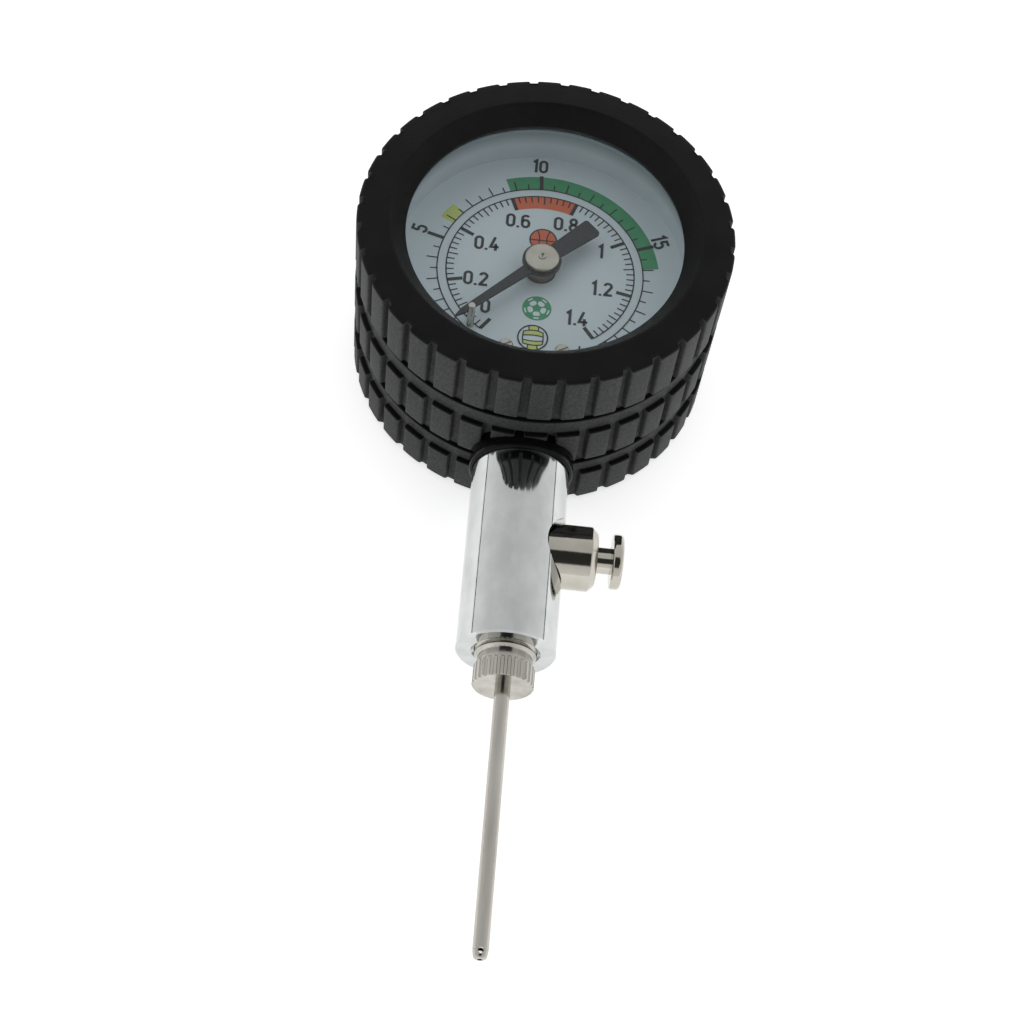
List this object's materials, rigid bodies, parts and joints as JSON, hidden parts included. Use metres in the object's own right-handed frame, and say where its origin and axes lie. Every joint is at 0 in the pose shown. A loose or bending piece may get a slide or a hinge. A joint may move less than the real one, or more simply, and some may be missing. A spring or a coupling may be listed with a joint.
{
  "type": "ball pressure gauge",
  "caption": "Hand-held dial gauge in a rubber boot with a stem, a bleed button and a screw-in ball needle, for reading and letting down the air in a ball.",
  "frame": {"origin": "centre of the back rest face, on the axis of the drum", "axes": "+Z out of the dial, +Y towards twelve o'clock, the stem and needle along -Y, the bleed button towards +X"},
  "size_m": [0.05, 0.1177, 0.03],
  "materials": {
    "boot_rubber": "semi-gloss moulded",
    "case_black": "satin",
    "window_clear": "polished clear",
    "gasket_grey": "matt",
    "ring_grey": "smooth",
    "dial_grey": "satin light grey",
    "screw_steel": "machined",
    "pointer_black": "satin",
    "cap_steel": "turned",
    "stem_chrome": "polished",
    "valve_nickel": "polished",
    "needle_nickel": "bright drawn",
    "seal_black": "matt",
    "movement_brass": "machined",
    "tube_bronze": "drawn",
    "spring_steel": "drawn"
  },
  "bodies": {
    "gauge": {"rubber_boot": "boot_rubber", "case_shell": "case_black", "case_screws": "screw_steel", "lens": "window_clear", "lens_gasket": "gasket_grey", "dial_ring": "ring_grey", "dial_plate": "dial_grey", "dial_screws": "screw_steel", "stop_pin": "cap_steel", "center_bush": "movement_brass", "stem": "stem_chrome", "stem_washer": "seal_black", "valve_gasket": "seal_black", "valve_body": "valve_nickel", "valve_spring": "spring_steel", "bourdon_tube": "tube_bronze", "socket_block": "movement_brass", "standoff_bushes": "movement_brass", "movement_back_plate": "movement_brass", "movement_front_plate": "movement_brass", "movement_pillars": "movement_brass", "movement_screws": "screw_steel", "hairspring": "tube_bronze", "hairspring_stud": "movement_brass"},
    "pointer_set": {"pointer": "pointer_black", "pointer_bush": "movement_brass", "pointer_cap": "cap_steel", "center_pinion": "spring_steel", "hairspring_collet": "movement_brass"},
    "sector": {"sector_gear": "movement_brass", "sector_arbor": "spring_steel", "sector_pin": "spring_steel"},
    "tube_end": {"tube_tip": "movement_brass", "tip_pin": "spring_steel", "link": "movement_brass"},
    "plunger": {"valve_plunger": "valve_nickel", "plunger_seal": "seal_black"},
    "needle_seal": {"needle_washer": "seal_black"},
    "needle": {"needle_hub": "needle_nickel", "needle_tube": "needle_nickel"}
  },
  "joints": [
    {"name": "tube_end_move", "type": "slide", "parent": "gauge", "child": "tube_end", "axis": [-0.9397, -0.342, 0], "range_m": [0, 0.0024], "deforming": ["bourdon_tube"]},
    {"name": "sector_swing", "type": "hinge", "parent": "gauge", "child": "sector", "pos_m": [-0.0055, -0.00953, 0.008], "axis": [0, 0, 1], "range_deg": [0, 27.95]},
    {"name": "pointer_turn", "type": "hinge", "parent": "gauge", "child": "pointer_set", "pos_m": [0, 0, 0.0217], "axis": [0, 0, -1], "range_deg": [0, 279], "stiffness_Nm_per_rad": 0.000002, "deforming": ["hairspring"]},
    {"name": "valve_press", "type": "slide", "parent": "gauge", "child": "plunger", "axis": [-1, 0, 0], "range_m": [0, 0.0015], "stiffness_N_per_m": 800, "springref_m": -0.001, "deforming": ["valve_spring"]},
    {"name": "needle_draw", "type": "slide", "parent": "gauge", "child": "needle_seal", "axis": [0, -1, 0], "range_m": [0, 0.00516]},
    {"name": "needle_turn", "type": "hinge", "parent": "needle_seal", "child": "needle", "pos_m": [0, -0.0551, 0.0098], "axis": [0, -1, 0], "range_deg": [0, 2345]}
  ],
  "couplings": [
    {"joint": "sector_swing", "follows": "tube_end_move", "rad_per_m": 201.98},
    {"joint": "pointer_turn", "follows": "tube_end_move", "rad_per_m": 2019.8},
    {"joint": "needle_turn", "follows": "needle_draw", "rad_per_m": 7915.8}
  ]
}
